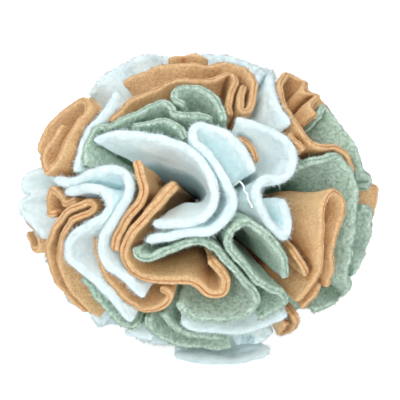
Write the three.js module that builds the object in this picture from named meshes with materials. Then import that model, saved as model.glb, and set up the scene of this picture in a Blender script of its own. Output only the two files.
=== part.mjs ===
// A snuffle ball for dogs: strips of thick fleece in three colours, each laid in ruffled folds,
// gathered at its inner edge and drawn together by one cord tied at the heart of the ball.
// The free edges fan out to a slightly flattened ball, and treats are hidden between the folds.
//
// Millimetres, +Z up. The origin is on the floor under the middle of the ball. The ball has a
// "face", which looks forward (-Y) and a little up: a place on it is given by how far across,
// up and out of the ball's middle it lies, seen square on to the face.
import * as THREE from "three";

// ---- driving dimensions -------------------------------------------------------------------
const HALF_ACROSS = 88; // half axes of the ball that the free edges lie on
const HALF_UP = 74;
const HALF_OUT = 80;
const MEAN_HALF = (HALF_ACROSS + HALF_UP + HALF_OUT) / 3;
const FACE_LIFT = 15; // degrees that the face looks up from level
const HEART_HEIGHT = 75; // height of the ball's middle over the floor
const HEART_RIGHT = 0.2; // the folds reach further to the left and the front than to the right
const HEART_BACK = 1.8; // and the back, so the middle is this far off the origin

const FLEECE = 3.7; // thickness of the fleece near its free edge
const LOFTY_FLEECE = 4.9; // the same where the nap of a strip stands up most
const FLEECE_AT_TIE = 0.8; // thickness where the tie squeezes it
const FULL_FROM = 0.8; // share of the radius from which the fleece has its full thickness
const ROOT = 0.15; // share of the radius where the strips end at the tie
const AIR = 0.82; // room kept between neighbouring layers

const KNOT = 0.139; // the knot of the tie, as a share of the ball
const THREAD = 0.8; // diameter of the tie's loose end

// ---- cloths -------------------------------------------------------------------------------
const fleece = (name, color) => {
  const cloth = new THREE.MeshStandardMaterial({ color, roughness: 0.95, metalness: 0 });
  cloth.name = name;
  return cloth;
};
const ICE = fleece("ice", 0xe4f1f3);
const TAN = fleece("tan", 0xddb384);
const SAGE = fleece("sage", 0xa9c6ae);
const CORD = fleece("cord", 0xf2efe6);

// ---- places on the ball -------------------------------------------------------------------
const lift = THREE.MathUtils.degToRad(FACE_LIFT);
const HEART = new THREE.Vector3(HEART_RIGHT, HEART_BACK, HEART_HEIGHT);
const ACROSS = new THREE.Vector3(1, 0, 0);
const UP = new THREE.Vector3(0, Math.sin(lift), Math.cos(lift));
const OUT = new THREE.Vector3(0, -Math.cos(lift), Math.sin(lift));
const HALF = new THREE.Vector3(HALF_ACROSS, HALF_UP, HALF_OUT);

// The place in the part's frame of a point given across, up and out of the ball's middle.
function place(p) {
  return HEART.clone()
    .addScaledVector(ACROSS, p.x)
    .addScaledVector(UP, p.y)
    .addScaledVector(OUT, p.z);
}

// A fold of a free edge: its direction from the ball's middle, and how far out it reaches.
// "rise" is how proud of the ball it stands, and "out" overrules its depth towards the face.
function fold({ across, up, rise = 0, lean = 0, out }) {
  const share = 1 + rise / MEAN_HALF;
  const x = across / HALF_ACROSS;
  const y = up / HALF_UP;
  const depth = share * share - x * x - y * y;
  const z = out === undefined ? Math.sqrt(Math.max(depth, 0)) : out / HALF_OUT;
  const way = new THREE.Vector3(x, y, z);
  return { way: way.clone().normalize(), reach: way.length(), lean };
}

// The same for a place on the floor, "front" of the ball's middle, where the ball's weight
// holds the cloth.
function floorFold({ across, front }) {
  const down = HEART_HEIGHT - FLEECE / 2;
  const up = -front * Math.sin(lift) - down * Math.cos(lift);
  const out = front * Math.cos(lift) - down * Math.sin(lift);
  const way = new THREE.Vector3(across, up, out).divide(HALF);
  return { way: way.clone().normalize(), reach: way.length(), lean: 0, pinned: true };
}

// ---- the strips on the face, one row for each fold of the free edge -------------------------
// lean: how far the cloth under this fold lies to the left of its edge, seen along the edge
const COLUMNS = ["across", "up", "rise", "lean", "out"];
const strips = [];
function strip(name, cloth, rows, thick = FLEECE) {
  const folds = rows.map((row) => fold(Object.fromEntries(row.map((v, i) => [COLUMNS[i], v]))));
  strips.push({ name, cloth, folds, thick });
}

// the heart of the face: a cup of ice fleece, with a second ice strip swirled round it
strip("ice_cup", ICE, [
  [-54.5, 33.2, 3], [-44, 35.5, 3], [-30, 35, 4], [-16, 32, 4], [-4, 26.5, 4], [4, 18.5, 4],
  [8, 8.5, 4], [6.5, -2, 4, -3], [-1, -8.5, 3, -6], [-12, -10.5, 2, -7], [-23, -10, 1, -6],
]);
strip("ice_swirl", ICE, [
  [-27, -18, 1], [-16, -16, 2], [-5, -14.5, 3], [6, -12.5, 4], [13, -6.5, 4], [16.5, 3, 4],
  [14.5, 12, 4], [9.5, 20, 4], [3, 27, 4], [-3.5, 32.5, 4], [-3.5, 37.5, 4], [1.5, 41, 4],
  [8, 39.5, 4], [15, 35, 4], [22, 27, 3], [27, 17, 2],
]);
strip("tan_pair", TAN, [
  [-43, -23], [-41.5, -16, 0, 1], [-40, -10, 0, 3], [-35.5, -4.5, 0, 6], [-30, 0, 0, 8],
  [-28, 5.5, 0, 8], [-28.5, 11.5, 0, 9], [-30, 17.5, 0, 9], [-31.5, 23, 0, 8],
], LOFTY_FLEECE);
strip("tan_tongue", TAN, [
  [-13, 10.5, 1, -9], [-17.5, 4.5, 1, -9], [-22, -1.5, 1, -8], [-27.2, -8.3, 0, -4],
  [-33.1, -13.5, 0, -2], [-37.5, -19.5], [-38.4, -26.7], [-33.9, -34], [-25, -37.5],
  [-15.5, -38.2], [-7, -37.3], [0, -40], [5.5, -44.3, 1], [11, -44, 1], [13.3, -38.5, 1],
  [11.3, -32], [7, -27],
], LOFTY_FLEECE);
strip("sage_wave", SAGE, [
  [-34, -20, 1, -1], [-30.8, -25, 2, -3], [-25, -26.3, 2, -4], [-17, -22, 2, -5],
  [-8, -18, 2, -6], [1, -17.5, 2, -5], [8, -22, 2, -3], [14, -30, 2], [21, -37.5, 2],
  [27, -43, 2], [29, -49, 2], [24, -54.5, 2], [13, -57.5, 2], [1, -57, 2], [-8, -54.5, 2],
  [-12, -49.5, 1],
]);
strip("sage_loop", SAGE, [
  [43, -37, 2], [42.5, -28, 3], [37.5, -18.5, 3], [30, -11.5, 3], [22, -8.5, 3], [15.5, -12, 3],
  [14.5, -20, 2], [20, -29.5, 2], [27.5, -37.5, 2], [35, -42, 2], [41, -44.5, 2],
  [42.8, -49.5, 2], [37, -54, 2], [29.5, -57, 2],
]);

// the left of the face
strip("ice_bend", ICE, [
  [-73, 12.5, 4], [-65, 11.5, 3], [-55, 15.5, 3], [-46, 18.5, 3], [-39, 17, 3, -3], [-35.5, 11, 3, -6],
  [-36.5, 4, 3, -6], [-41, -4, 3, -4], [-46, -11, 3], [-47.5, -19, 3], [-45, -28, 3], [-39.5, -36, 3],
  [-33, -43, 3], [-28.5, -47, 2],
]);
strip("ice_zigzag", ICE, [
  [-68, 4.5, 3], [-58, 6.9, 3], [-49.3, 5.4, 3], [-46, 0, 3], [-48.2, -7, 3], [-56, -10.6, 3],
  [-62.5, -13.5, 3], [-67, -18.5, 4], [-66.5, -26, 4], [-60, -33, 3], [-50, -41.5, 3],
  [-41, -50.5, 3], [-34, -58, 3],
]);
strip("tan_left", TAN, [
  [-53.5, -57.5, 1], [-60.5, -52, 2], [-66.5, -44, 2], [-70, -34, 2], [-71.5, -25, 2],
  [-70.5, -17, 2],
  [-66, -9.5, 2], [-59.5, -5, 1], [-54.8, -3.9], [-52.8, -1.9], [-55, 0.5], [-60.5, -0.4, 1],
  [-68, -4, 2], [-74.5, -11.5, 3], [-77.5, -21, 3], [-76.5, -31, 3], [-73, -41, 0, 0, 22],
  [-67, -49.5, 0, 0, 20], [-59.5, -56, 0, 0, 19],
]);
strip("tan_curl", TAN, [
  [-62, 3], [-68.5, 0.5, 1], [-71.5, 4.5, 2], [-75, 8, 3], [-78, 3, 3], [-77.5, -4, 3],
  [-73.5, -4.5, 2],
]);
strip("ice_far_left", ICE, [
  [-76, 17.5, 0, 0, 10], [-84, 17.5, 0, 0, 7], [-91, 14.5, 0, 0, 4], [-91.5, 8.5, 0, 0, 5],
  [-87, 5, 0, 0, 12], [-92.5, 1, 0, 0, 10], [-91, -5, 0, 0, 12], [-85.5, -10.5, 0, 0, 18],
  [-80, -16, 0, 0, 26],
]);
strip("tan_far_left", TAN, [
  [-91, -8, 0, 0, -2], [-86.5, -13, 0, 0, 6], [-83.5, -18, 0, 0, 12], [-85, -22.5, 0, 0, 8],
  [-89, -20, 0, 0, -2], [-90, -15, 0, 0, -9],
]);
strip("tan_loop", TAN, [
  [-83, 26.5, 4], [-80, 36, 5], [-73.5, 44.5, 6], [-66.5, 50.3, 7], [-60.5, 53, 7],
  [-57.3, 48.7, 7], [-61.3, 42, 7], [-66.5, 34.5, 6], [-69.5, 26.5, 6], [-73, 19.5, 5],
  [-77, 17, 4], [-79, 22, 4], [-76.5, 30, 5], [-70.5, 40.5, 6],
]);
strip("ice_sliver", ICE, [
  [-64, 16.5, 1], [-62, 24, 1], [-61, 32, 1], [-57.5, 39, 2], [-51.2, 45, 3],
  [-46, 51.5, 3], [-43, 58, 3],
]);

// the top of the face
strip("sage_top", SAGE, [
  [-59, 19, 2], [-57, 33.5, 2], [-52, 39.8, 2], [-45, 40.5, 2], [-37, 44, 2],
  [-20, 52, 2], [-15.5, 50, 1], [-13.5, 45.5, 1], [-7, 44.5, 1], [1, 45.5, 1],
  [7, 44],
]);
strip("sage_lobe", SAGE, [
  [-8.5, 49.5], [-13, 52.5, 1], [-12, 57.5, 2], [-5, 59.5, 2], [1, 58.5, 2], [6, 54, 2],
  [11, 43, 1],
]);
strip("sage_tuck", SAGE, [
  [-34, 39.5], [-25, 41.5], [-16, 40.5], [-10, 37], [-7, 32.5],
]);
strip("tan_shelf", TAN, [
  [-46, 42], [-41, 48], [-33, 54], [-22, 58.5], [-10, 63], [1, 63], [9.5, 65, 1],
  [15.5, 67.5, 1], [18.5, 62], [15.5, 55.5, -1], [14, 50, -3], [14.5, 45, -5],
]);
strip("tan_top", TAN, [
  [-40, 63.5], [-30, 67.5, 1], [-20, 70.5, 2], [-8, 71, 2], [3, 70.5, 1], [12, 73, 3],
  [20, 71.5, 3], [25.5, 67, 3], [28, 60, 2], [27, 52.5], [24.8, 47, -2], [20.2, 46.8, -2],
  [20.3, 52], [22.3, 60.5, 1],
]);
strip("ice_top_left", ICE, [
  [-58, 57, 0, 0, 4], [-52, 64, 0, 0, 13], [-43, 71.5, 0, 0, 3], [-33, 76, 0, 0, 11],
  [-24, 78, 0, 0, 1], [-14, 77.5, 0, 0, -6],
]);
strip("tan_top_back", TAN, [
  [-17, 74, 0, 0, 17], [-10, 76, 0, 0, 8], [-2, 76, 0, 0, 15], [4, 74.5, 0, 0, 9],
]);
strip("ice_top_back", ICE, [
  [-6, 78, 0, 0, -8], [3, 78.5, 0, 0, 1], [11, 78.5, 0, 0, -6], [18, 77, 0, 0, 5],
  [25, 72.5, 0, 0, 0], [29, 71, 0, 0, 10], [33, 68.5, 0, 0, 4],
]);

// the right of the face
strip("ice_peak", ICE, [
  [27.5, 64, 1], [31, 68, 2], [36.5, 69.5, 3], [37, 63.5, 3], [37.5, 57.5, 3], [40, 51, 3],
  [43.5, 44.5, 2], [44.5, 40.5, 1],
]);
strip("ice_hook", ICE, [
  [17.5, 43, 2], [27, 40, 3], [37, 37, 3], [44.5, 31.5, 4], [48.5, 24.5, 4], [46, 17.5, 4],
  [39, 14, 3], [32.5, 14, 3, 4], [28.5, 9.5, 3, 6], [28.5, 1.5, 3, 5], [33, -6, 3, 3],
  [42.5, -15, 2], [44.8, -10, 1], [43.5, -3, 0], [41, 4, -1],
]);
strip("tan_chip", TAN, [
  [19.5, 35.5, -5], [24.5, 31, -5], [27.5, 26, -5], [28, 21.5, -6],
]);
strip("tan_ridge", TAN, [
  [58.5, 45.5, 3], [56.5, 50.5, 3], [60, 56, 5], [52.5, 57.5, 3], [52.5, 64, 5], [46.5, 67, 5],
  [41.5, 64.5, 4], [40.5, 58, 3], [43, 51, 2], [46, 44, 1], [50, 37, 1], [55.5, 31.5, 1],
  [62.5, 29.5, 1], [70, 28.5, 2], [75.5, 24, 3], [78.5, 16, 3],
]);
strip("tan_tab", TAN, [
  [44.5, 36.5, 1], [51.5, 27.5, 1],
]);
strip("sage_shoulder", SAGE, [
  [61, 44.5, 1], [64, 49.5, 3], [68.5, 45, 3], [73.5, 37.5, 3], [79, 28.5, 4], [82, 20.5, 4],
  [84.5, 16, 4], [87.5, 11.5, 4], [85.5, 7.5, 3],
]);
strip("sage_right", SAGE, [
  [54, 22.5], [68.5, 25, 2], [74, 20.5, 3], [78, 13, 3], [79, 3.5, 3],
  [77.5, -7, 3], [76, -17, 3], [76.5, -27, 3], [75, -36, 3], [76.5, -42, 4], [73, -47.5, 4],
  [65, -52, 3], [57.5, -55, 3],
]);
strip("tan_arch", TAN, [
  [48, -49, 1], [53.5, -44, 2], [58, -37, 2], [60, -28, 2], [60, -17.5, 2], [60.5, -7, 2],
  [62.5, 2, 3], [66.5, 7, 3], [71, 4.5, 3], [71.5, -3, 3], [68.5, -11, 2], [66.5, -21, 2],
  [66.5, -32, 2], [65, -42, 2],
]);
strip("tan_flap", TAN, [
  [45.5, -21.5, 0, 5], [48, -25.5, 0, 6], [51.5, -31, 0, 6], [54.5, -36, 0, 4],
]);
strip("sage_far_right", SAGE, [
  [81.5, -2, 3], [86.5, -4, 3], [86, -9.5, 2], [88.5, -14, 3], [86.5, -21.5, 3],
  [82, -29.5, 3], [77.5, -37, 2],
]);
strip("tan_far_right", TAN, [
  [84, 8, 0, 0, -8], [92, 8.5, 0, 0, -12], [91, -1, 0, 0, -10], [88.5, -7, 0, 0, -6],
]);

// the bottom of the face
strip("tan_cove", TAN, [
  [-52.5, -16, -2], [-51, -25, -1], [-49, -33], [-45, -41], [-39, -47.5], [-31, -52, 1],
  [-23.5, -52.5, 1], [-17.5, -49.5, 1], [-15.5, -45, 1], [-20, -42.3],
]);
strip("sage_low_left", SAGE, [
  [-60, -37.5, 1], [-48, -51.5, 2], [-42, -58, 3], [-35, -62, 3],
  [-30, -59.5, 1],
]);
strip("ice_low_left", ICE, [
  [-39, -64, 3], [-32, -68, 4], [-25, -69, 4],
]);
strip("sage_hem_inner", SAGE, [
  [-20, -55], [-14, -60.5], [-7.5, -65, 1], [2, -68, 1], [12, -68.5, 1],
]);
strip("sage_hem", SAGE, [
  [-26, -57, 1], [-25.5, -62.5, 2], [-20, -67.5, 2], [-12, -71, 2], [-3, -73, 2], [7, -74, 2],
  [16, -72.5, 2],
]);
strip("ice_low", ICE, [
  [-10, -58.5], [-4.5, -62.5, 1], [4.5, -64.3, 1], [22, -63.7, 1],
  [31, -61.7, 1], [38.5, -58.5, 1], [44, -54.5, 1],
]);
strip("tan_low_right", TAN, [
  [48, -55.5, 2], [49, -60.5, 3], [46, -65.5, 3], [41.5, -69, 3], [40.5, -64.5, 2], [43.5, -60, 1],
]);
strip("ice_under", ICE, [
  [19, -72, 0, 0, 8], [25, -72.3, 0, 0, 3], [31.5, -71, 0, 0, 9], [37, -68, 0, 0, 4],
  [41, -64.5, 0, 0, 8],
]);
strip("tan_wedge", TAN, [
  [60.5, -40.5], [58, -45, 1], [54.5, -49.5, 1], [50.5, -53, 1],
]);

// ---- the strips round the back --------------------------------------------------------------
// They follow rings round the point opposite the face, and meander: along such a strip the
// heading swings from side to side, as in a ruffle that finds its own folds.
//   ring: degrees of the ring from the back point    from, to: where it runs, in degrees of clock
//   wave: length of cloth in one meander             swing: furthest heading, in degrees
const RING_COLUMNS = ["ring", "from", "to", "wave", "swing", "phase", "rise"];
const RING_STEP = 10; // length of cloth between two sections
const WANDER = 0.17; // how much of its swing a ruffle strays from an even one
function ringStrip(name, cloth, row) {
  const at = Object.fromEntries(row.map((v, i) => [RING_COLUMNS[i], v]));
  const folds = [];
  const swing = THREE.MathUtils.degToRad(at.swing);
  const step = RING_STEP / MEAN_HALF;
  let clock = THREE.MathUtils.degToRad(at.from);
  let ring = THREE.MathUtils.degToRad(at.ring);
  for (let s = 0; clock < THREE.MathUtils.degToRad(at.to); s += RING_STEP) {
    const way = new THREE.Vector3(
      Math.sin(ring) * Math.cos(clock),
      Math.sin(ring) * Math.sin(clock),
      -Math.cos(ring),
    );
    const turn = 2 * Math.PI * (s / at.wave + at.phase);
    const rise = at.rise * Math.sin(0.37 * turn + at.ring);
    folds.push({ way, reach: 1 + rise / MEAN_HALF, lean: 0 });
    const heading = swing * (Math.sin(turn) + WANDER * Math.sin(0.43 * turn + at.from));
    ring += step * Math.sin(heading);
    clock += (step * Math.cos(heading)) / Math.sin(ring);
  }
  strips.push({ name, cloth, folds });
}
ringStrip("back_sage_heart", SAGE, [13.5, 21, 331, 66, 62, 0.13, 2]);
ringStrip("back_tan_1", TAN, [30, 13, 123, 77, 80, 0.1, 2]);
ringStrip("back_ice_1", ICE, [28, 132, 254, 83, 80, 0.14, 3]);
ringStrip("back_tan_2", TAN, [30, 252, 373, 70, 75, 0.08, 2]);
ringStrip("back_ice_2", ICE, [59.5, 27, 119, 84, 76, 0.23, 3]);
ringStrip("back_sage_1", SAGE, [56, 121, 204, 84, 78, 0.94, 2]);
ringStrip("back_ice_3", ICE, [58.5, 210, 262, 73, 80, 0.2, 2]);
ringStrip("back_ice_5", ICE, [57.5, 267, 315, 69, 80, 0.23, 2]);
ringStrip("back_sage_2", SAGE, [52.5, 305, 375, 81, 80, 0.05, 3]);
ringStrip("back_tan_3", TAN, [73, 7, 75, 72, 80, 0.09, 2]);
ringStrip("back_sage_3", SAGE, [78.5, 75, 152, 70, 73, 0.51, 3]);
ringStrip("back_tan_4", TAN, [77, 129, 185, 84, 74, 0.01, 2]);
ringStrip("back_ice_4", ICE, [91.5, 201, 267, 78, 80, 0.74, 2]);
ringStrip("back_sage_4", SAGE, [72, 297, 361, 82, 80, 0.99, 2]);

// ---- the strips underfoot -------------------------------------------------------------------
// The ball stands on the ends of two strips, which its weight bends over and presses flat.
//   across: of the section at its bend    knee, toe: how far front of the middle it bends and ends
//   height: of its end over the floor
const FOOT_COLUMNS = ["across", "knee", "toe", "height"];
const TOE_SPREAD = 1.12; // how much wider the strip is at its end than at the bend
const FOOT_REACH = 50; // other cloth this near the middle stays above the strips underfoot
function foot(name, cloth, rows) {
  const marks = rows.map((row) => Object.fromEntries(row.map((v, i) => [FOOT_COLUMNS[i], v])));
  const folds = marks.map(({ across, knee }) => floorFold({ across, front: knee }));
  const toes = marks.map(({ across, toe, height = 0 }) =>
    new THREE.Vector3(HEART.x + across * TOE_SPREAD, HEART.y - toe, FLEECE / 2 + height));
  strips.push({ name, cloth, folds, toes });
}
foot("ice_foot", ICE, [
  [-12, 7, 31], [-3, 8.5, 35], [7, 7, 36.5], [17, 8.5, 35.5], [25, 8.5, 32, 1], [33, 9.5, 28, 3.5],
]);
foot("tan_foot", TAN, [
  [-24, -4, -17, 2], [-15, -3, -22], [-6, -4.5, -24], [4, -3, -23], [13, -4, -22], [21, -3, -17],
]);

// ---- settling the folds ---------------------------------------------------------------------
// From the free edges inwards the strips have less and less room. They are followed down in
// small steps, and at each step layers that come too close are eased apart.
const STEPS = 22;
const KEPT = [0, 8, 16, STEPS]; // the steps at which a section gets a point
const ROUNDS = 20; // easings at each step
const FIRM_ROUNDS = 4; // the last of them, in which a push doesn't spread
const FAR = 30; // cloth further apart than this isn't in the way
const LEAN_STEPS = 11; // steps over which a leaning fold moves under its edge
const NEAR_FOLD = 0.72; // share of the spacing that next folds of the same strip keep
const SPREAD = 0.3; // share of a push that goes on to the sections beside it

const shellAt = (step) => 1 - ((1 - ROOT) * step) / STEPS;
function thicknessAt(shell, full = FLEECE) {
  const share = THREE.MathUtils.clamp((shell - ROOT) / (FULL_FROM - ROOT), 0, 1);
  return FLEECE_AT_TIE + (full - FLEECE_AT_TIE) * share;
}

// The way by which the tie's loose end comes out between two ice strips.
const THREAD_WAY = { across: 20.5, up: 12 };
const threadLane = { folds: [{ ...fold(THREAD_WAY), pinned: true }] };

// One point for each fold, on a shell of the ball.
class Layout {
  constructor(all) {
    this.all = all;
    this.spots = all.flatMap((s, which) => s.folds.map((f, index) => ({ which, index, f })));
    this.spots.forEach((spot) => (spot.way = spot.f.way.clone()));
    this.runs = [];
    for (let i = 0; i + 1 < this.spots.length; i++)
      if (this.spots[i].which === this.spots[i + 1].which) this.runs.push(i);
  }

  onShell(shell) {
    this.spots.forEach((spot) => (spot.at = spot.way.clone().multiply(HALF).multiplyScalar(shell)));
  }

  // The cloth under a leaning fold moves to the left of the edge.
  leanBy(share) {
    for (const i of this.runs) {
      const [a, b] = [this.spots[i], this.spots[i + 1]];
      const left = a.at.clone().cross(b.at.clone().sub(a.at)).normalize();
      for (const spot of [a, b]) spot.at.addScaledVector(left, (spot.f.lean * share) / 2);
    }
  }

  // Moves a spot and a run apart when they are closer than the cloth needs.
  part(v, i, shell) {
    const [a, b] = [this.spots[i], this.spots[i + 1]];
    if (Math.abs(v.at.x - a.at.x) > FAR || Math.abs(v.at.y - a.at.y) > FAR) return;
    const [own, other] = [v, a].map((spot) => thicknessAt(shell, this.all[spot.which].thick));
    let need = (own + other) / 2 + AIR;
    if (v.which === a.which) {
      const apart = Math.min(Math.abs(v.index - a.index), Math.abs(v.index - b.index));
      if (apart === 0) return;
      if (apart === 1) need *= NEAR_FOLD;
    }
    const along = b.at.clone().sub(a.at);
    const share = THREE.MathUtils.clamp(
      v.at.clone().sub(a.at).dot(along) / Math.max(along.lengthSq(), 1e-9), 0, 1);
    const push = v.at.clone().sub(a.at).addScaledVector(along, -share);
    const gap = push.length();
    if (gap >= need || gap < 1e-6) return;
    const yields = [v, a].map((spot) => (spot.f.pinned ? 0 : 1));
    const total = yields[0] + yields[1];
    if (total === 0) return;
    push.multiplyScalar((need - gap) / gap / total);
    v.at.addScaledVector(push, yields[0]);
    a.at.addScaledVector(push, yields[1] * (share - 1));
    b.at.addScaledVector(push, -yields[1] * share);
  }

  // A push spreads to the sections beside it, so that the cloth bends and doesn't kink.
  spread(before) {
    const moved = this.spots.map((spot, i) => spot.at.clone().sub(before[i]));
    this.spots.forEach((spot, i) => {
      const beside = [i - 1, i + 1].filter((j) => this.spots[j]?.which === spot.which);
      if (!beside.length || spot.f.pinned) return;
      const mean = new THREE.Vector3();
      beside.forEach((j) => mean.add(moved[j]));
      spot.at.copy(before[i]).add(moved[i].clone().lerp(mean.divideScalar(beside.length), SPREAD));
    });
  }

  settle(shell, step) {
    this.onShell(shell);
    if (step > 0 && step <= LEAN_STEPS) this.leanBy(1 / LEAN_STEPS);
    for (let round = 0; round < ROUNDS; round++) {
      const before = this.spots.map((spot) => spot.at.clone());
      for (const v of this.spots) for (const i of this.runs) this.part(v, i, shell);
      if (round < ROUNDS - FIRM_ROUNDS) this.spread(before);
      for (const spot of this.spots) {
        spot.way = spot.at.clone().divide(HALF).normalize();
        spot.at = spot.way.clone().multiply(HALF).multiplyScalar(shell);
      }
    }
  }
}

// ---- cloth as a solid -------------------------------------------------------------------------
const SHARPEST = 0.7; // how even a bend still is when its corner stops growing thicker
// grid[i][k] is the middle of the cloth at section i, from its gathered edge (k = 0) outwards.
function sheet(grid, thicknesses, floorAt) {
  const sections = grid.length;
  const rows = grid[0].length;
  const facing = [];
  for (let i = 0; i + 1 < sections; i++) {
    facing.push([]);
    for (let k = 0; k + 1 < rows; k++) {
      const down = grid[i + 1][k + 1].clone().sub(grid[i][k]);
      const over = grid[i][k + 1].clone().sub(grid[i + 1][k]);
      facing[i].push(down.cross(over).normalize());
    }
  }
  const points = [];
  const index = (i, k, side) => (i * rows + k) * 2 + side;
  for (let i = 0; i < sections; i++)
    for (let k = 0; k < rows; k++) {
      const around = [];
      for (const [a, b] of [[i - 1, k - 1], [i - 1, k], [i, k - 1], [i, k]])
        if (facing[a]?.[b]) around.push(facing[a][b]);
      const mean = around.reduce((sum, n) => sum.add(n), new THREE.Vector3()).normalize();
      const evenness = around.reduce((sum, n) => sum + n.dot(mean), 0) / around.length;
      const square = Math.max(SHARPEST, evenness);
      for (const side of [-1, 1]) {
        const p = grid[i][k].clone().addScaledVector(mean, (side * thicknesses[k]) / 2 / square);
        p.z = Math.max(p.z, floorAt(p)); // cloth on the floor is pressed flat
        points.push(p.x, p.y, p.z);
      }
    }
  const faces = [];
  const quad = (a, b, c, d) => faces.push(a, b, c, a, c, d);
  for (let i = 0; i + 1 < sections; i++) {
    for (let k = 0; k + 1 < rows; k++) {
      quad(index(i, k, 1), index(i + 1, k, 1), index(i + 1, k + 1, 1), index(i, k + 1, 1));
      quad(index(i, k, 0), index(i, k + 1, 0), index(i + 1, k + 1, 0), index(i + 1, k, 0));
    }
    const top = rows - 1;
    quad(index(i, 0, 0), index(i + 1, 0, 0), index(i + 1, 0, 1), index(i, 0, 1));
    quad(index(i, top, 0), index(i, top, 1), index(i + 1, top, 1), index(i + 1, top, 0));
  }
  const last = sections - 1;
  for (let k = 0; k + 1 < rows; k++) {
    quad(index(0, k, 0), index(0, k, 1), index(0, k + 1, 1), index(0, k + 1, 0));
    quad(index(last, k, 0), index(last, k + 1, 0), index(last, k + 1, 1), index(last, k, 1));
  }
  const geometry = new THREE.BufferGeometry();
  geometry.setAttribute("position", new THREE.Float32BufferAttribute(points, 3));
  geometry.setIndex(faces);
  geometry.computeVertexNormals();
  return geometry;
}

// ---- the tie ----------------------------------------------------------------------------------
// A knot of cord at the heart of the ball, out of which one frayed end wanders between the folds
// to the face. It is followed by hand from the knot, by how far across and up it would come out,
// and by its share of the way out.
const THREAD_SIDES = 8;
const THREAD_STEPS = 34;
const THREAD_COLUMNS = ["across", "up", "share"];
const THREAD_ROUTE = [
  [20.5, 12, 0.15], [20.5, 12, 0.3], [20.5, 12, 0.45], [20.5, 12, 0.6], [20.5, 12, 0.75],
  [20.5, 12, 0.86], [20.3, 12.3, 0.935], [20.7, 11, 0.975], [21.6, 9, 0.985], [22, 7, 0.98],
  [23.4, 5.6, 0.98], [23.6, 3.6, 0.985], [24, 1.8, 0.99], [25, 0.2, 0.995], [25.3, -1.4, 1],
];
function thread() {
  const marks = THREAD_ROUTE.map((row) =>
    Object.fromEntries(row.map((v, i) => [THREAD_COLUMNS[i], v])));
  const route = marks.map(({ across, up, share }) =>
    place(fold({ across, up }).way.multiply(HALF).multiplyScalar(share)));
  const round = new THREE.Shape();
  for (let i = 0; i < THREAD_SIDES; i++) {
    const turn = (2 * Math.PI * i) / THREAD_SIDES;
    round[i ? "lineTo" : "moveTo"](THREAD / 2 * Math.cos(turn), THREAD / 2 * Math.sin(turn));
  }
  const extrudePath = new THREE.CatmullRomCurve3(route);
  return new THREE.ExtrudeGeometry(round, { steps: THREAD_STEPS, extrudePath });
}

function knot() {
  const lump = new THREE.IcosahedronGeometry(KNOT, 1);
  lump.scale(HALF.x, HALF.z, HALF.y);
  lump.rotateX(lift);
  lump.translate(HEART.x, HEART.y, HEART.z);
  return lump;
}

// ---- the whole ball -------------------------------------------------------------------------
const ball = new THREE.Group();
function add(name, geometry, material) {
  const mesh = new THREE.Mesh(geometry, material);
  mesh.name = name;
  ball.add(mesh);
}

const layout = new Layout([...strips, threadLane]);
const kept = [];
for (let step = 0; step <= STEPS; step++) {
  layout.settle(shellAt(step), step);
  if (KEPT.includes(step))
    kept.unshift({ shell: shellAt(step), ways: layout.spots.map((spot) => spot.way.clone()) });
}

// Cloth stays off the floor, and near the middle also off the strips underfoot.
const onFloor = () => 0;
const overFeet = (p) => (Math.hypot(p.x, p.y) < FOOT_REACH ? FLEECE + AIR : 0);

let first = 0;
for (const s of strips) {
  const thicknesses = kept.map(({ shell }) => thicknessAt(shell, s.thick));
  const grid = s.folds.map((f, i) =>
    kept.map(({ shell, ways }) => {
      const reach = 1 + (f.reach - 1) * shell ** 2;
      return place(ways[first + i].clone().multiply(HALF).multiplyScalar(shell * reach));
    }));
  if (s.toes) {
    grid.forEach((line, i) => line.push(s.toes[i]));
    thicknesses.push(FLEECE);
  }
  add(s.name, sheet(grid, thicknesses, s.toes ? onFloor : overFeet), s.cloth);
  first += s.folds.length;
}
add("tie_knot", knot(), CORD);
add("tie_end", thread(), CORD);

export default ball;
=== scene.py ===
# A snuffle ball for dogs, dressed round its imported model: 58 strips of thick fleece in three
# colours, ruffled, gathered and tied at the heart of the ball, with one loose end of the tie
# among the folds at the front. Metres, +Z up, the ball on the floor at the origin.
import math

import bmesh
import bpy
import numpy as np
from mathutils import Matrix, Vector, noise
from mathutils.bvhtree import BVHTree


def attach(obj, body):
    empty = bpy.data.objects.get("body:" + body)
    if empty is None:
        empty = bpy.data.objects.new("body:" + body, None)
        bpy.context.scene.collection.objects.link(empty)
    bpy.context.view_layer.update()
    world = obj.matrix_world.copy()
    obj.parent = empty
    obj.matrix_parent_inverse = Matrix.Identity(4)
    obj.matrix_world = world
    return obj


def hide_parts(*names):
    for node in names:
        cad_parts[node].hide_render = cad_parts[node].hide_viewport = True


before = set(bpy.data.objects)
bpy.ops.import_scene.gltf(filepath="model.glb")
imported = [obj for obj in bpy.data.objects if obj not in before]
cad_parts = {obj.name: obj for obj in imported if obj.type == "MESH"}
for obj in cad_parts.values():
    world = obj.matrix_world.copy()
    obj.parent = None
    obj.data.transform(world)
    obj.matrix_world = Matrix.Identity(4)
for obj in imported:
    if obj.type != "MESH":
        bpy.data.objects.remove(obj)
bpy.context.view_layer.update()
bpy.ops.object.select_all(action="DESELECT")

# ---- the camera -----------------------------------------------------------------------------
# A long lens looks a little down at the ball's face, square on to it, from about nine of its
# own widths away, so that near and far folds keep their true proportions.
MM = 0.001
FACE_LIFT = math.radians(15)
HEART = Vector((0.2, 1.8, 75)) * MM
HALF = Vector((88, 74, 80)) * MM
ACROSS = Vector((1, 0, 0))
UP = Vector((0, math.sin(FACE_LIFT), math.cos(FACE_LIFT)))
OUT = Vector((0, -math.cos(FACE_LIFT), math.sin(FACE_LIFT)))
AWAY = 1.6
FRAME_WIDTH = 200 * MM
FRAME_MIDDLE_UP = 2.5 * MM
FACE_DEPTH = 45 * MM  # the frame's width is true at this depth of the ball

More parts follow.
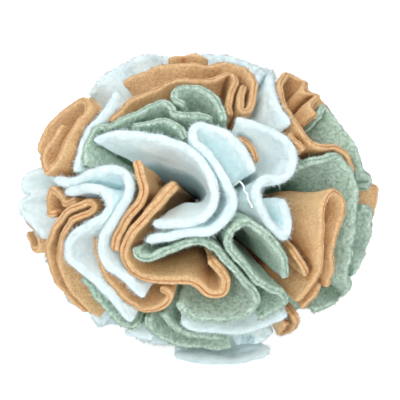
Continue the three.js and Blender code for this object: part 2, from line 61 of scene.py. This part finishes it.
bpy.ops.object.camera_add()
camera = bpy.context.object
camera.name = "camera"
camera.location = HEART + UP * FRAME_MIDDLE_UP + OUT * AWAY - ACROSS * HEART.x
camera.rotation_euler = (math.pi / 2 - FACE_LIFT, 0, 0)
camera.data.sensor_width = 36
camera.data.lens = 36 * (AWAY - FACE_DEPTH) / FRAME_WIDTH
camera.data.clip_end = 20
bpy.context.scene.camera = camera
bpy.ops.object.select_all(action="DESELECT")

# ---- the loose end of the tie -----------------------------------------------------------------
# A thin white cord, limp and a little wavy, that leaves the knot at the heart of the ball, runs
# out between the folds and lies over them for its last 15 mm. Its end is bare.
CORD_THICK = 0.8 * MM
CORD_COLUMNS = ["across", "up", "share"]
CORD_ROUTE = [
    [20.5, 12, 0.15], [20.5, 12, 0.3], [20.5, 12, 0.45], [20.5, 12, 0.6], [20.5, 12, 0.75],
    [20.5, 12, 0.86], [20.3, 12.3, 0.935], [20.7, 11, 0.975], [21.6, 9, 0.985], [22, 7, 0.98],
    [23.4, 5.6, 0.98], [23.6, 3.6, 0.985], [24, 1.8, 0.99], [25, 0.2, 0.995], [25.3, -1.4, 1],
]


def on_ball(across, up, share):
    """A place on the way from the heart to a point of the face, in metres."""
    x = across * MM / HALF.x
    y = up * MM / HALF.y
    z = math.sqrt(1 - x * x - y * y)
    return HEART + (ACROSS * x * HALF.x + UP * y * HALF.y + OUT * z * HALF.z) * share


cord_points = [on_ball(**dict(zip(CORD_COLUMNS, row))) for row in CORD_ROUTE]


def smooth_line(points, steps):
    """Points along a centripetal Catmull-Rom curve through the given ones."""
    p = np.array([list(q) for q in points], float)
    p = np.vstack([2 * p[0] - p[1], p, 2 * p[-1] - p[-2]])
    line = []
    for a, b, c, d in zip(p, p[1:], p[2:], p[3:]):
        for t in np.arange(steps) / steps:
            line.append(0.5 * (2 * b + (c - a) * t + (2 * a - 5 * b + 4 * c - d) * t * t
                               + (3 * b - a - 3 * c + d) * t ** 3))
    line.append(p[-2])
    return np.array(line)


cord_line = smooth_line(cord_points, 6)

# ---- a strip of fleece ------------------------------------------------------------------------
# Each strip is cut from double-sided fleece about 4 mm thick, napped on both faces. Its free
# edge is a square cut with soft corners, and its other edge is gathered in the tie.


def corners_across(triangles):
    """For each directed edge of the triangles, the corner that faces it."""
    across = {}
    for a, b, c in triangles:
        across[a, b], across[b, c], across[c, a] = c, a, b
    return across


def strip_pattern(sections, rows):
    """The triangles of a strip's solid, whose corners are (section, row, side)."""
    quads = []
    for i in range(sections - 1):
        for k in range(rows - 1):
            quads.append([(i, k, 1), (i + 1, k, 1), (i + 1, k + 1, 1), (i, k + 1, 1)])
            quads.append([(i, k, 0), (i, k + 1, 0), (i + 1, k + 1, 0), (i + 1, k, 0)])
        t = rows - 1
        quads.append([(i, 0, 0), (i + 1, 0, 0), (i + 1, 0, 1), (i, 0, 1)])
        quads.append([(i, t, 0), (i, t, 1), (i + 1, t, 1), (i + 1, t, 0)])
    e = sections - 1
    for k in range(rows - 1):
        quads.append([(0, k, 0), (0, k, 1), (0, k + 1, 1), (0, k + 1, 0)])
        quads.append([(e, k, 0), (e, k + 1, 0), (e, k + 1, 1), (e, k, 1)])
    return [t for a, b, c, d in quads for t in ((a, b, c), (a, c, d))]


def laid_over(pattern, solid, first, start):
    """The pattern's corners on the solid's, if its edge first lies on the edge start."""
    place = dict(zip(first, start))
    todo, done = [first], set()
    while todo:
        a, b = todo.pop()
        if (a, b) in done:
            continue
        c, found = pattern[a, b], solid[place[a], place[b]]
        if place.setdefault(c, found) != found:
            return None
        done |= {(a, b), (b, c), (c, a)}
        todo += [(b, a), (c, b), (a, c)]
    return place if len(set(place.values())) == len(place) else None


def strip_faces(node):
    """The two faces of a strip's solid: points by section, row from the free edge, and side."""
    mesh = bmesh.new()
    mesh.from_mesh(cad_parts[node].data)
    bmesh.ops.remove_doubles(mesh, verts=mesh.verts, dist=0.002 * MM)
    mesh.verts.index_update()
    points = np.array([v.co for v in mesh.verts])
    solid = corners_across([[v.index for v in f.verts] for f in mesh.faces])
    mesh.free()
    first = (0, 0, 1), (1, 0, 1)
    rows = 5 if node.endswith("foot") else 4
    sections = len(points) // (2 * rows)
    pattern = corners_across(strip_pattern(sections, rows))
    meeting = [sum(a == corner for a, _ in pattern) for corner in first]
    counts = np.bincount([a for a, _ in solid])
    grids = []
    for start in solid:
        if [counts[start[0]], counts[start[1]]] == meeting:
            place = laid_over(pattern, solid, first, start)
            if place:
                grids.append(np.empty((sections, rows, 2, 3)))
                for corner, at in place.items():
                    grids[-1][corner] = points[at]
    return min(grids, key=lambda grid: np.linalg.norm(grid[:, :, 1] - grid[:, :, 0], axis=2).sum())


def curve_weights(knots, at):
    """How much each knot's point counts, at each place asked for on a smooth curve through all."""
    knots, at = np.asarray(knots, float), np.asarray(at, float)
    gaps = np.diff(knots)
    unit = np.eye(len(knots))
    chords = np.diff(unit, axis=0) / gaps[:, None]
    tangents = np.empty_like(unit)
    tangents[0], tangents[-1] = chords[0], chords[-1]
    before, after = gaps[:-1, None], gaps[1:, None]
    tangents[1:-1] = (chords[:-1] * after + chords[1:] * before) / (before + after)
    k = np.clip(np.searchsorted(knots, at, side="right") - 1, 0, len(gaps) - 1)
    g = gaps[k][:, None]
    t = ((at - knots[k]) / gaps[k])[:, None]
    return (unit[k] * (2 * t ** 3 - 3 * t ** 2 + 1) + unit[k + 1] * (3 * t ** 2 - 2 * t ** 3)
            + tangents[k] * g * (t ** 3 - 2 * t ** 2 + t) + tangents[k + 1] * g * (t ** 3 - t ** 2))


# The cut edge seen in section: how deep under the edge, in mm, how much deeper where a groove
# marks the bond of the two faces, and how far out of the middle, as a share of half the thickness.
CUT_COLUMNS = ["deep", "groove", "out"]
SQUARE_CUT = [[0, 0.12, 0], [0.03, 0.04, 0.2], [0.12, 0, 0.46], [0.35, 0, 0.72], [0.8, 0, 0.92],
              [1.5, 0, 1]]
SOFT_CUT = [[0, 0, 0], [0.1, 0, 0.26], [0.42, 0, 0.53], [1, 0, 0.76], [1.9, 0, 0.93],
            [2.9, 0, 1.02]]
DOWN = [3.8, 4.8, 5.9, 7.1, 8.2, 9.7, 11.5, 13.5, 16, 19, 22.5, 27, 33, 41, 51]
STEP = 1.1  # mm between sections along the edge
CORNER = 1.4  # mm radius of a strip's cut corners
RAGGED = 0.7  # mm by which the cut runs off its line


def lengthwise(length, cut):
    """Places along a strip in mm, and how full the strip is there, from cut end to cut end."""
    inwards, full = np.array(cut)[:, [0, 2]].T
    count = max(4, round((length - 2 * inwards[-1]) / STEP))
    middle = np.linspace(inwards[-1], length - inwards[-1], count)[1:-1]
    places = np.concatenate([inwards, middle, length - inwards[::-1]])
    return places, np.concatenate([full, np.ones(len(middle)), full[::-1]])


def unfolded(side, middle, rounds=40):
    """One face of a strip without the turned-over creases that offsetting a tight bend leaves."""
    for _ in range(rounds):
        step, true_step = np.diff(side, axis=0), np.diff(middle, axis=0)
        back = (step * true_step).sum(2) < 0.12 * (true_step ** 2).sum(2)
        if not back.any():
            break
        bad = np.zeros(side.shape[:2], bool)
        bad[:-1] |= back
        bad[1:] |= back
        bad[[0, -1]] = False
        even = side.copy()
        even[1:-1] = (side[:-2] + side[2:]) / 2
        side = np.where(bad[..., None], even, side)
    return side


DRIFT_APART = np.array([[0, 0, 0], [31.7, 4.9, 12.3], [8.1, 22.6, 41.2]])  # one noise per axis


def drift(points, size, reach):
    """How far the cloth at each point has shifted, the same for layers that lie together."""
    flat = points.reshape(-1, 3) / (size * MM)
    moved = [[noise.noise(Vector(p + apart)) for apart in DRIFT_APART] for p in flat]
    return np.array(moved).reshape(points.shape) * reach * MM


def fleece_strip(node, cut, puff=1.0):
    """The strip's fine mesh, with how deep and how far out each point is kept as attributes."""
    faces = strip_faces(node)[:, ::-1]
    coarse = faces.mean(2)
    span = faces[:, :, 1] - faces[:, :, 0]
    thick = np.median(np.linalg.norm(span, axis=2), axis=0)
    rows = coarse.shape[1]

    # places along the edge, evenly spaced by arc length on the smooth edge itself
    chord = np.linalg.norm(np.diff(coarse[:, 0], axis=0), axis=1)
    knots = np.concatenate([[0], np.cumsum(np.sqrt(chord))])
    dense = np.linspace(0, knots[-1], 40 * len(coarse))
    edge = curve_weights(knots, dense) @ coarse[:, 0]
    arc = np.concatenate([[0], np.cumsum(np.linalg.norm(np.diff(edge, axis=0), axis=1))])
    length = arc[-1] / MM
    along, full = lengthwise(length, cut)
    lengthwise_weights = curve_weights(knots, np.interp(along * MM, arc, dense))

    # places down from the edge, as shares of the strip's width
    drop = np.linalg.norm(np.diff(coarse, axis=1), axis=2).mean(0)
    levels = np.concatenate([[0], np.cumsum(drop)])
    width = levels[-1] / MM
    down = np.array([row[0] for row in cut] + [d for d in DOWN if d < width - 3]
                    + [width - 0.4, width])
    sunk = np.array([row[1] for row in cut] + [0] * (len(down) - len(cut)))
    out = np.array([row[2] for row in cut] + [1] * (len(down) - len(cut) - 1) + [0])
    corner = np.minimum(along, length - along)
    inset = CORNER - np.sqrt(np.maximum(CORNER ** 2 - np.maximum(CORNER - corner, 0) ** 2, 0))
    strayed = [noise.noise(Vector(p) / (5 * MM)) for p in lengthwise_weights @ coarse[:, 0]]
    inset = (inset[:, None] * np.exp(-down / CORNER)[None]
             + RAGGED * (0.5 + np.array(strayed))[:, None] * np.exp(-down / 6)[None])
    depth = np.minimum(down[None] + sunk[None] * full[:, None] + inset, width)
    fine = np.einsum("in,nkc->ikc", lengthwise_weights, coarse)
    spread = np.einsum("in,nkc->ikc", lengthwise_weights, span)
    weights = curve_weights(levels, depth.ravel() * MM).reshape(*depth.shape, rows)
    middle = np.einsum("ijk,ikc->ijc", weights, fine)
    spread = np.einsum("ijk,ikc->ijc", weights, spread)
    half = np.interp(depth * MM, levels, thick / 2)
    middle += drift(middle, 21, 1.8) + drift(middle, 9, 0.6)

    # the way out of the cloth's middle, square to it
    along_way = np.gradient(middle, axis=0)
    down_way = np.gradient(middle, axis=1)
    normal = np.cross(down_way, along_way)
    normal /= np.maximum(np.linalg.norm(normal, axis=2, keepdims=True), 1e-12)
    normal *= np.sign((normal * spread).sum(2, keepdims=True))
    normal += spread / np.maximum(np.linalg.norm(spread, axis=2, keepdims=True), 1e-12)
    normal /= np.linalg.norm(normal, axis=2, keepdims=True)

    swell = half * full[:, None] * out[None] * puff
    sides = [unfolded(middle + normal * (swell * turn)[..., None], middle) for turn in (1, -1)]
    sections, lines = swell.shape
    points = np.concatenate([sides[0].reshape(-1, 3), sides[1].reshape(-1, 3)])
    count = sections * lines
    number = np.arange(count).reshape(sections, lines)
    other = number + count
    shared = np.zeros((sections, lines), bool)
    shared[[0, -1]] = shared[:, [0, -1]] = True
    other[shared] = number[shared]
    quads = np.concatenate([
        np.stack([number[:-1, :-1], number[1:, :-1], number[1:, 1:], number[:-1, 1:]], -1),
        np.stack([other[:-1, :-1], other[:-1, 1:], other[1:, 1:], other[1:, :-1]], -1),
    ]).reshape(-1, 4)
    used, quads = np.unique(quads, return_inverse=True)
    mesh = bpy.data.meshes.new(node + "_cloth")
    mesh.from_pydata(points[used], [], quads.reshape(-1, 4).tolist())
    for name, values in (("deep", depth.ravel()), ("out", (full[:, None] * out[None]).ravel())):
        layer = mesh.attributes.new(name, "FLOAT", "POINT")
        layer.data.foreach_set("value", np.concatenate([values, values])[used].astype(np.float32))
    bm = bmesh.new()
    bm.from_mesh(mesh)
    bmesh.ops.remove_doubles(bm, verts=bm.verts, dist=0.01 * MM)
    bmesh.ops.recalc_face_normals(bm, faces=bm.faces)
    bm.to_mesh(mesh)
    bm.free()
    mesh.polygons.foreach_set("use_smooth", [True] * len(mesh.polygons))
    piece = bpy.data.objects.new(node + "_cloth", mesh)
    bpy.context.scene.collection.objects.link(piece)
    area = np.linalg.norm(np.cross(along_way, down_way), axis=2).sum()
    return piece, length * MM, width * MM, min(area, length * width * MM ** 2)  # cut straight


def napped(piece, lump, nap, seed):
    """Raises soft lumps and a curly nap on the cloth, by moving its own points."""
    for name, size, strength in (("lumps", 7.5, lump), ("nap", 2.3, nap)):
        if not strength:
            continue
        clouds = bpy.data.textures.get(f"{name}") or bpy.data.textures.new(name, "CLOUDS")
        clouds.noise_scale = size * MM
        clouds.noise_depth = 1
        press = piece.modifiers.new(name, "DISPLACE")
        press.texture = clouds
        press.texture_coords = "LOCAL"
        press.strength = strength * MM
        press.mid_level = 0.5
        bpy.context.view_layer.objects.active = piece
        bpy.ops.object.modifier_apply(modifier=name)
    for v in piece.data.vertices:
        v.co.z = max(v.co.z, 0.2 * MM)  # the floor presses the cloth flat


# How shut in the cloth is at each point: rays go out from it to find other cloth close by. The
# cloths' colours use it to paint shade and light into the hollows and creases.
NEARBY = 22  # mm that a ray looks
CLEAR = 2.2  # mm over the cloth at which it starts
RAYS = 10
crowd_points, crowd_faces = [], []
for node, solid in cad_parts.items():
    first = len(crowd_points)
    crowd_points += [tuple(v.co) for v in solid.data.vertices]
    crowd_faces += [[first + v for v in face.vertices] for face in solid.data.polygons]
crowd = BVHTree.FromPolygons(crowd_points, crowd_faces)


def shut_in(piece, seed):
    """Keeps as the attribute "shut" how much of the space over each point other cloth fills."""
    mesh = piece.data
    rng = np.random.default_rng(seed)
    count = len(mesh.vertices)
    points, ways, deep = np.empty(count * 3), np.empty(count * 3), np.empty(count)
    mesh.vertices.foreach_get("co", points)
    mesh.vertices.foreach_get("normal", ways)
    mesh.attributes["deep"].data.foreach_get("value", deep)
    points, ways = points.reshape(-1, 3), ways.reshape(-1, 3)
    starts = (points + ways * CLEAR * MM).tolist()
    filled = np.zeros(count)
    for _ in range(RAYS):
        aim = ways + rng.normal(0, 1, ways.shape) * 0.55
        for v, (start, way) in enumerate(zip(starts, aim.tolist())):
            if deep[v] < 30:
                away = crowd.ray_cast(start, way, NEARBY * MM)[3]
                if away is not None:
                    filled[v] += 1 - away / (NEARBY * MM)
    shut = np.where(deep < 30, filled / RAYS, 1)
    ends = np.empty(len(mesh.edges) * 2, int)
    mesh.edges.foreach_get("vertices", ends)
    a, b = ends.reshape(-1, 2).T
    beside = np.maximum(np.bincount(ends, minlength=count), 1)
    for _ in range(3):  # the rays' scatter is smoothed out along the cloth
        around = np.bincount(a, shut[b], count) + np.bincount(b, shut[a], count)
        shut = (shut + around / beside) / 2
    layer = mesh.attributes.new("shut", "FLOAT", "POINT")
    layer.data.foreach_set("value", shut.astype(np.float32))


HAIR_SIDES = 3
FUZZY = 3.2  # mm under the edge over which the loose fibres thin out
SPARSE = 0.14  # share of the fibres that is left further down


def hairs(node, piece, length, per_mm, longest, thick, seed):
    """Loose fibres that stand on the cut edge and, more sparsely, on the faces, as one mesh."""
    mesh = piece.data
    rng = np.random.default_rng(seed)
    points = np.empty(len(mesh.vertices) * 3)
    mesh.vertices.foreach_get("co", points)
    points = points.reshape(-1, 3)
    ways = np.empty(len(mesh.vertices) * 3)
    mesh.vertices.foreach_get("normal", ways)
    ways = ways.reshape(-1, 3)
    deep = np.empty(len(mesh.vertices))
    mesh.attributes["deep"].data.foreach_get("value", deep)
    mesh.calc_loop_triangles()
    corners = np.empty(len(mesh.loop_triangles) * 3, int)
    mesh.loop_triangles.foreach_get("vertices", corners)
    corners = corners.reshape(-1, 3)
    a, b, c = points[corners[:, 0]], points[corners[:, 1]], points[corners[:, 2]]
    hairy = np.linalg.norm(np.cross(b - a, c - a), axis=1)
    under = deep[corners].mean(1)
    hairy *= np.where(under < 16, np.maximum(np.exp(-under / FUZZY), SPARSE), 0)
    count = int(length / MM * per_mm)
    chosen = rng.choice(len(corners), count, p=hairy / hairy.sum())
    mix = rng.dirichlet([1, 1, 1], count)[..., None]
    root = (points[corners[chosen]] * mix).sum(1)
    cloth_way = (ways[corners[chosen]] * mix).sum(1)
    way = cloth_way + rng.normal(0, 0.5, cloth_way.shape)
    way /= np.linalg.norm(way, axis=1, keepdims=True)
    long = longest * MM * rng.uniform(0.3, 1, count)[:, None]
    bend = rng.normal(0, 0.4, way.shape)
    side = np.cross(way, rng.normal(0, 1, way.shape))
    side /= np.linalg.norm(side, axis=1, keepdims=True)
    front = np.cross(way, side)
    ring = []
    for t in range(HAIR_SIDES):
        turn = 2 * math.pi * t / HAIR_SIDES
        ring.append(root - way * 0.3 * MM
                    + (side * math.cos(turn) + front * math.sin(turn)) * thick * MM / 2)
    tip = root + (way + bend) * long
    verts = np.stack(ring + [tip], 1).reshape(-1, 3)
    verts[:, 2] = np.maximum(verts[:, 2], 0.05 * MM)
    base = np.arange(count)[:, None] * (HAIR_SIDES + 1)
    shape = np.array([[0, 1, 3], [1, 2, 3], [2, 0, 3], [2, 1, 0]])
    tris = (base[:, :, None] + shape[None]).reshape(-1, 3)
    fuzz = bpy.data.meshes.new(node + "_fuzz")
    fuzz.from_pydata(verts, [], tris.tolist())
    for name in ("shut", "out"):  # a fibre has the colour of the cloth it stands on
        values = np.empty(len(mesh.vertices))
        mesh.attributes[name].data.foreach_get("value", values)
        rooted = (values[corners[chosen]] * mix[..., 0]).sum(1)
        layer = fuzz.attributes.new(name, "FLOAT", "POINT")
        layer.data.foreach_set("value", np.repeat(rooted, HAIR_SIDES + 1).astype(np.float32))
    fuzz.polygons.foreach_set("use_smooth", [True] * len(fuzz.polygons))
    # a fibre takes the light as the cloth under it does, so that the fuzz is soft and not flecked
    fuzz.normals_split_custom_set_from_vertices(np.repeat(cloth_way, HAIR_SIDES + 1, axis=0))
    piece = bpy.data.objects.new(node + "_fuzz", fuzz)
    bpy.context.scene.collection.objects.link(piece)
    return piece


def colour(r, g, b):
    """A colour as a shader takes it, from its everyday 0 to 255 values."""
    return [((v / 255 + 0.055) / 1.055) ** 2.4 if v > 10 else v / 255 / 12.92
            for v in (r, g, b)] + [1]


def link(tree, a, b):
    tree.links.new(a, b)


def fleece_cloth(name, face, painted_tuft_shade, bare, painted_open_tone, painted_shut_tone, painted_crevice_shade, line, line_strength, tuft, nap_bump,
                 sheen=0.6, painted_hollow_glow=0.0):
    """Napped fleece: small soft tufts with painted shade in the dips between them, painted shade and
    light where other cloth shuts it in, and a fine line in the cut.
    """
    material = bpy.data.materials.new(name)
    material.use_nodes = True
    tree = material.node_tree
    new = tree.nodes.new
    shader = tree.nodes["Principled BSDF"]
    shader.inputs["Roughness"].default_value = 0.95
    shader.inputs["Specular IOR Level"].default_value = 0.1
    shader.inputs["Sheen Weight"].default_value = sheen
    shader.inputs["Sheen Roughness"].default_value = 0.5
    shader.inputs["Sheen Tint"].default_value = face
    place = new("ShaderNodeTexCoord")

    tufts = new("ShaderNodeTexNoise")
    tufts.inputs["Scale"].default_value = 1 / (tuft * MM)
    tufts.inputs["Detail"].default_value = 4
    tufts.inputs["Roughness"].default_value = 0.62
    tufts.inputs["Distortion"].default_value = 0.35
    link(tree, place.outputs["Object"], tufts.inputs["Vector"])
    fine = new("ShaderNodeTexNoise")
    fine.inputs["Scale"].default_value = 1 / (0.5 * MM)
    fine.inputs["Detail"].default_value = 3
    link(tree, place.outputs["Object"], fine.inputs["Vector"])
    patches = new("ShaderNodeTexNoise")
    patches.inputs["Scale"].default_value = 1 / (14 * MM)
    patches.inputs["Detail"].default_value = 3
    link(tree, place.outputs["Object"], patches.inputs["Vector"])

    # painted shade: the colour is darker in the dips between the tufts, on the same noise as the
    # bump
    tint = new("ShaderNodeMix")
    tint.data_type = "RGBA"
    tint.inputs["A"].default_value = painted_tuft_shade
    tint.inputs["B"].default_value = face
    raised = new("ShaderNodeMapRange")
    raised.inputs["From Min"].default_value = 0.34
    raised.inputs["From Max"].default_value = 0.6
    link(tree, tufts.outputs[0], raised.inputs["Value"])
    link(tree, raised.outputs[0], tint.inputs["Factor"])

    worn = new("ShaderNodeMix")
    worn.data_type = "RGBA"
    worn.inputs["B"].default_value = bare
    spread = new("ShaderNodeMapRange")
    spread.inputs["From Min"].default_value = 0.42
    spread.inputs["From Max"].default_value = 0.72
    spread.inputs["To Max"].default_value = 0.5
    link(tree, patches.outputs[0], spread.inputs["Value"])
    link(tree, spread.outputs[0], worn.inputs["Factor"])
    link(tree, tint.outputs["Result"], worn.inputs["A"])

    # painted shade and light: the colour follows how shut in by other cloth each point is; the tan
    # and sage are darker where shut in, the white is paler there and darker at its open rims
    painted_shut_shade = new("ShaderNodeMix")
    painted_shut_shade.data_type = "RGBA"
    painted_shut_shade.inputs["A"].default_value = painted_open_tone
    painted_shut_shade.inputs["B"].default_value = painted_shut_tone
    shut = new("ShaderNodeAttribute")
    shut.attribute_name = "shut"
    inwards = new("ShaderNodeMapRange")
    inwards.inputs["From Min"].default_value = 0.1
    inwards.inputs["From Max"].default_value = 0.75
    link(tree, shut.outputs["Fac"], inwards.inputs["Value"])
    link(tree, inwards.outputs[0], painted_shut_shade.inputs["Factor"])
    if painted_hollow_glow:  # painted light: the cloth gives off a little light in its hollows, standing in for light that comes through the pile from the folds around
        fading = new("ShaderNodeMapRange")
        fading.inputs["From Min"].default_value = 0.7
        fading.inputs["From Max"].default_value = 0.95
        fading.inputs["To Min"].default_value = painted_hollow_glow
        fading.inputs["To Max"].default_value = 0
        link(tree, shut.outputs["Fac"], fading.inputs["Value"])
        through = new("ShaderNodeMath")
        through.operation = "MULTIPLY"
        link(tree, inwards.outputs[0], through.inputs[0])
        link(tree, fading.outputs[0], through.inputs[1])
        link(tree, through.outputs[0], shader.inputs["Emission Strength"])
        shader.inputs["Emission Color"].default_value = painted_shut_tone
    shaded = new("ShaderNodeMix")
    shaded.data_type = "RGBA"
    shaded.blend_type = "MULTIPLY"
    shaded.inputs["Factor"].default_value = 1
    link(tree, worn.outputs["Result"], shaded.inputs["A"])
    link(tree, painted_shut_shade.outputs["Result"], shaded.inputs["B"])
    # painted shade: the most shut-in places, deep in the creases, are darkened further
    crevice = new("ShaderNodeMix")
    crevice.data_type = "RGBA"
    crevice.blend_type = "MULTIPLY"
    crevice.inputs["B"].default_value = painted_crevice_shade
    crevice_shade_mask = new("ShaderNodeMapRange")
    crevice_shade_mask.inputs["From Min"].default_value = 0.66
    crevice_shade_mask.inputs["From Max"].default_value = 0.92
    link(tree, shut.outputs["Fac"], crevice_shade_mask.inputs["Value"])
    link(tree, crevice_shade_mask.outputs[0], crevice.inputs["Factor"])
    link(tree, shaded.outputs["Result"], crevice.inputs["A"])

    middle = new("ShaderNodeAttribute")
    middle.attribute_name = "out"
    ragged = new("ShaderNodeMath")
    ragged.operation = "MULTIPLY_ADD"
    ragged.inputs[1].default_value = 0.22
    link(tree, fine.outputs[0], ragged.inputs[0])
    link(tree, middle.outputs["Fac"], ragged.inputs[2])
    thread = new("ShaderNodeMapRange")
    thread.inputs["From Min"].default_value = 0.19
    thread.inputs["From Max"].default_value = 0.4
    thread.inputs["To Min"].default_value = 1
    thread.inputs["To Max"].default_value = 0
    link(tree, ragged.outputs[0], thread.inputs["Value"])
    here_and_there = new("ShaderNodeMapRange")
    here_and_there.inputs["From Min"].default_value = 0.38
    here_and_there.inputs["From Max"].default_value = 0.6
    here_and_there.inputs["To Min"].default_value = line_strength * 0.55
    here_and_there.inputs["To Max"].default_value = line_strength
    link(tree, patches.outputs[0], here_and_there.inputs["Value"])
    shown = new("ShaderNodeMath")
    shown.operation = "MULTIPLY"
    link(tree, thread.outputs[0], shown.inputs[0])
    link(tree, here_and_there.outputs[0], shown.inputs[1])
    lined = new("ShaderNodeMix")
    lined.data_type = "RGBA"
    lined.inputs["B"].default_value = line
    link(tree, shown.outputs[0], lined.inputs["Factor"])
    link(tree, crevice.outputs["Result"], lined.inputs["A"])
    link(tree, lined.outputs["Result"], shader.inputs["Base Color"])

    height = new("ShaderNodeMath")
    height.operation = "MULTIPLY_ADD"
    height.inputs[1].default_value = 0.3
    link(tree, fine.outputs[0], height.inputs[0])
    link(tree, tufts.outputs[0], height.inputs[2])
    bump = new("ShaderNodeBump")
    bump.inputs["Strength"].default_value = nap_bump
    bump.inputs["Distance"].default_value = 1.6 * MM
    link(tree, height.outputs[0], bump.inputs["Height"])
    link(tree, bump.outputs[0], shader.inputs["Normal"])
    return material


# Each cloth's tones for the dips between tufts and for open, shut-in and deepest places paint shade
# and light into its colour, and the white cloth's emission is painted light in its hollows.
CLOTHS = {
    "ice": dict(
        material=fleece_cloth("ice_fleece", colour(242, 249, 249), colour(228, 241, 244),
                              colour(238, 247, 248), painted_open_tone=colour(226, 237, 239),
                              painted_shut_tone=colour(236, 247, 248), painted_crevice_shade=colour(206, 228, 230),
                              line=colour(220, 236, 238), line_strength=0, tuft=2.0,
                              nap_bump=0.35, sheen=0.15, painted_hollow_glow=0.17),
        cut=SOFT_CUT, puff=1.22, lump=0.6, nap=0.4, hair=(23, 2.2, 0.28)),
    "tan": dict(
        material=fleece_cloth("tan_fleece", colour(234, 195, 145), colour(202, 154, 102),
                              colour(225, 183, 132), painted_open_tone=colour(250, 247, 242),
                              painted_shut_tone=colour(222, 188, 150), painted_crevice_shade=colour(116, 76, 46),
                              line=colour(170, 88, 42), line_strength=1, tuft=1.2, nap_bump=0.9),
        cut=SQUARE_CUT, puff=1, lump=0.6, nap=0.4, hair=(18, 1.5, 0.24)),
    "sage": dict(
        material=fleece_cloth("sage_fleece", colour(204, 226, 210), colour(130, 165, 141),
                              colour(186, 212, 194), painted_open_tone=colour(252, 255, 254),
                              painted_shut_tone=colour(194, 214, 200), painted_crevice_shade=colour(98, 134, 110),
                              line=colour(70, 108, 84), line_strength=0.75, tuft=1.7, nap_bump=1.2),
        cut=SQUARE_CUT, puff=1.02, lump=0.9, nap=1.0, hair=(19, 1.8, 0.26)),
}

for number, node in enumerate(sorted(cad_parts)):
    if node.startswith("tie"):
        continue
    slot = next(word for word in node.split("_") if word in CLOTHS)
    cloth = CLOTHS[slot]
    piece, length, width, area = fleece_strip(node, cloth["cut"], cloth["puff"])
    napped(piece, cloth["lump"], cloth["nap"], number)
    shut_in(piece, number)
    fuzz = hairs(node, piece, length, *cloth["hair"], seed=number)
    for part in (piece, fuzz):
        part.data.materials.append(cloth["material"])
        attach(part, "root")
    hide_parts(node)

# ---- the tie's knot and its loose end ------------------------------------------------------------
tie = bpy.data.materials.new("tie_cord")
tie.use_nodes = True
tie.node_tree.nodes["Principled BSDF"].inputs["Base Color"].default_value = colour(245, 244, 238)
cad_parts["tie_knot"].data.materials.clear()
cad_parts["tie_knot"].data.materials.append(tie)
curve = bpy.data.curves.new("tie_thread", "CURVE")
curve.dimensions = "3D"
curve.bevel_depth = CORD_THICK / 2
curve.bevel_resolution = 3
curve.use_fill_caps = True
spline = curve.splines.new("POLY")
spline.points.add(len(cord_line) - 1)
for spot, at in zip(spline.points, cord_line):
    spot.co = (*at, 1)
curve.materials.append(tie)
thread_piece = bpy.data.objects.new("tie_thread", curve)
bpy.context.scene.collection.objects.link(thread_piece)
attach(thread_piece, "root")
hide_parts("tie_end")

# ---- the floor and the light ----------------------------------------------------------------------
bpy.ops.mesh.primitive_plane_add(size=12, location=(0, 0, 0))
floor = bpy.context.object
floor.name = "floor"
paper = bpy.data.materials.new("floor_paper")
paper.use_nodes = True
paper.node_tree.nodes["Principled BSDF"].inputs["Base Color"].default_value = (0.7, 0.7, 0.7, 1)
paper.node_tree.nodes["Principled BSDF"].inputs["Roughness"].default_value = 0.9
paper.node_tree.nodes["Principled BSDF"].inputs["Emission Color"].default_value = (1, 1, 1, 1)
paper.node_tree.nodes["Principled BSDF"].inputs["Emission Strength"].default_value = 0.7
floor.data.materials.append(paper)

world = bpy.data.worlds.new("studio")
bpy.context.scene.world = world
world.use_nodes = True
sky = world.node_tree.nodes["Background"]
sky.inputs["Color"].default_value = (1, 1, 1, 1)
seen = world.node_tree.nodes.new("ShaderNodeLightPath")
strength = world.node_tree.nodes.new("ShaderNodeMapRange")  # dimmer as a light than it is seen
strength.inputs["To Min"].default_value = 0.95
strength.inputs["To Max"].default_value = 1
link(world.node_tree, seen.outputs["Is Camera Ray"], strength.inputs["Value"])
link(world.node_tree, strength.outputs[0], sky.inputs["Strength"])


def softbox(name, place, size, watts):
    bpy.ops.object.light_add(type="AREA", location=place)
    lamp = bpy.context.object
    lamp.name = name
    lamp.data.size = size
    lamp.data.energy = watts
    lamp.rotation_euler = (HEART - Vector(place)).to_track_quat("-Z", "Y").to_euler()


softbox("front_softbox", (-0.15, -1.3, 0.65), 0.9, 4.4)
softbox("top_softbox", (-0.2, -0.5, 1.3), 0.9, 8.5)
bpy.context.scene.view_settings.view_transform = "Standard"
bpy.context.scene.view_settings.gamma = 1.2  # lifts the hollows, as in a bright light tent
bpy.context.scene.cycles.diffuse_bounces = 12
